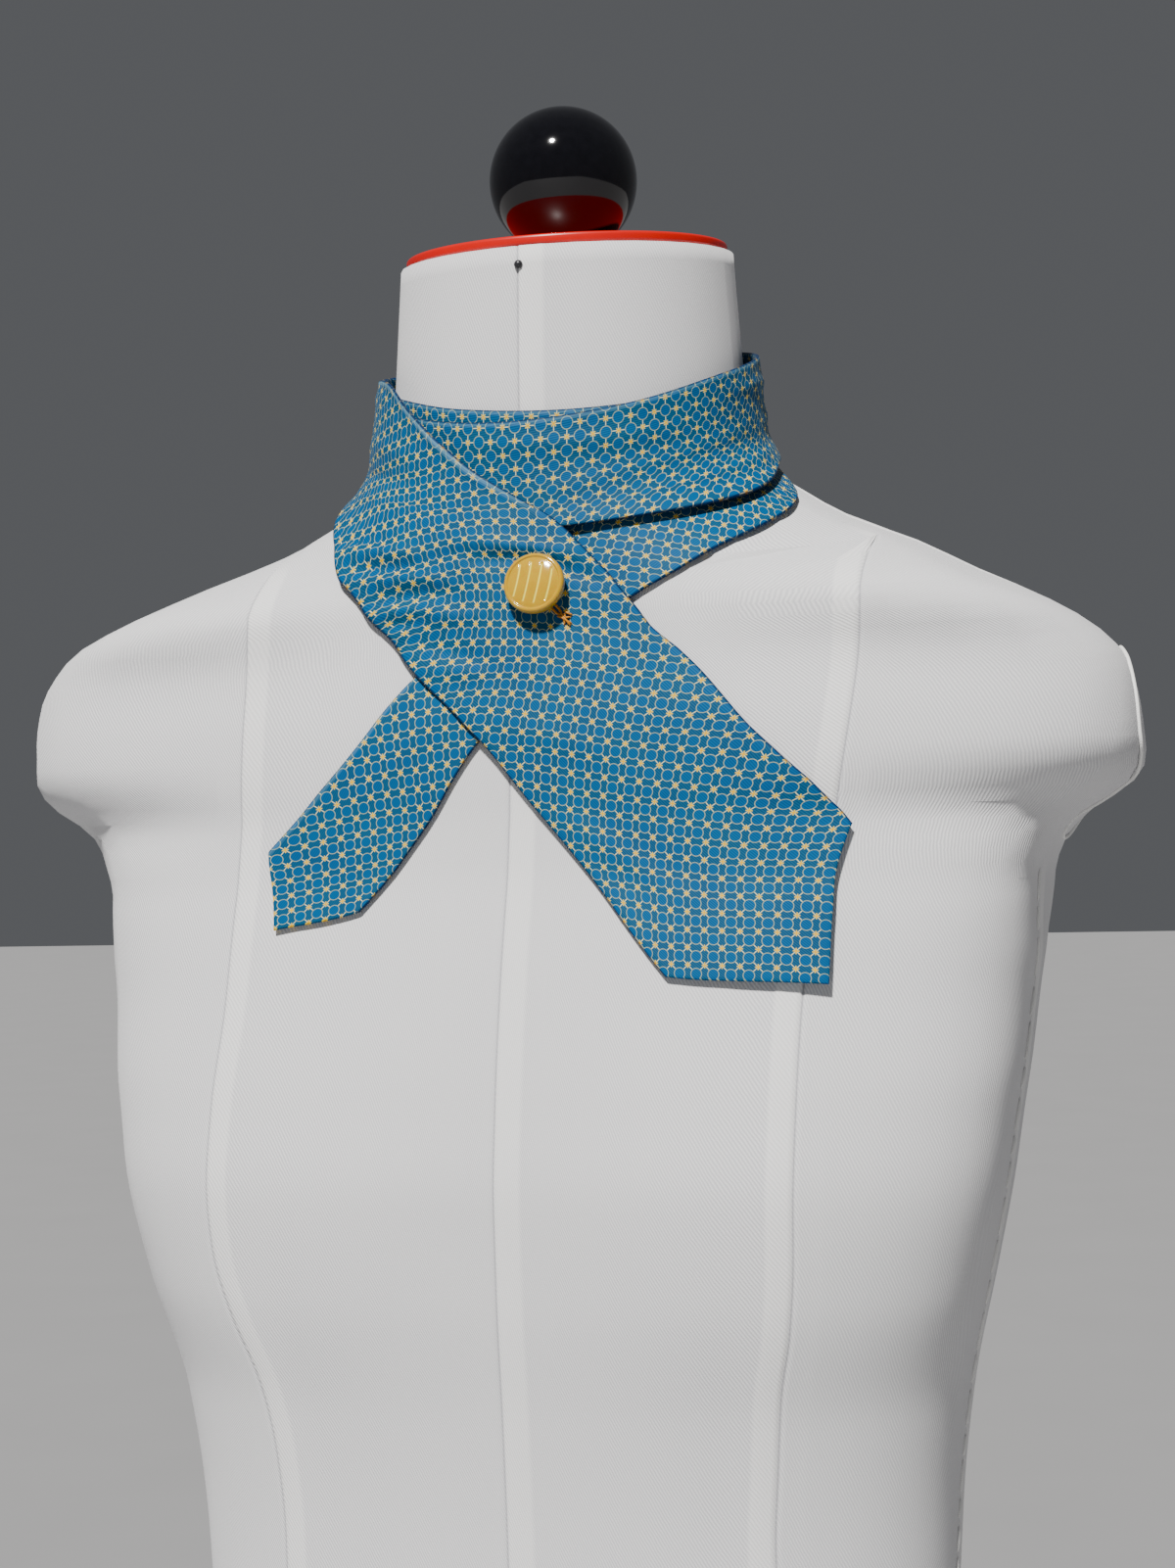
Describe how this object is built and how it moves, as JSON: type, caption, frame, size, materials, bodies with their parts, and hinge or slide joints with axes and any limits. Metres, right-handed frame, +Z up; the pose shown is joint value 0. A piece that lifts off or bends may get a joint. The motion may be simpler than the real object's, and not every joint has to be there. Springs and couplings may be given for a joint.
{
  "type": "cravat on dress form",
  "caption": "Printed silk cravat wound round the neck of a limbless dress form, crossed on the chest and fastened by a domed button, its pointed ends hanging free.",
  "frame": {"origin": "on the surface that the form stands on, under the middle of the part's outline", "axes": "+Z up the form, -Y towards its front, +X towards the form's own left side"},
  "size_m": [0.3968, 0.201, 0.7837],
  "materials": {
    "form_cover": "off-white cotton twill stretched over the form, matt",
    "cap_plastic": "smooth orange-red moulded plastic, satin gloss",
    "knob_gloss": "polished black, high gloss",
    "pin_metal": "black enamelled pin head",
    "printed_silk": "mid-blue silk twill with a small printed star and ring lattice, soft sheen",
    "button_resin": "golden ochre resin, polished, with four paler scored lines"
  },
  "bodies": {
    "root": {"dress_form": "form_cover", "neck_cap": "cap_plastic", "knob": "knob_gloss", "neck_pin": "pin_metal", "tail": "printed_silk", "lower_turn": "printed_silk", "inner_turn": "printed_silk", "outer_turn": "printed_silk", "blade": "printed_silk", "button": "button_resin"}
  },
  "joints": []
}
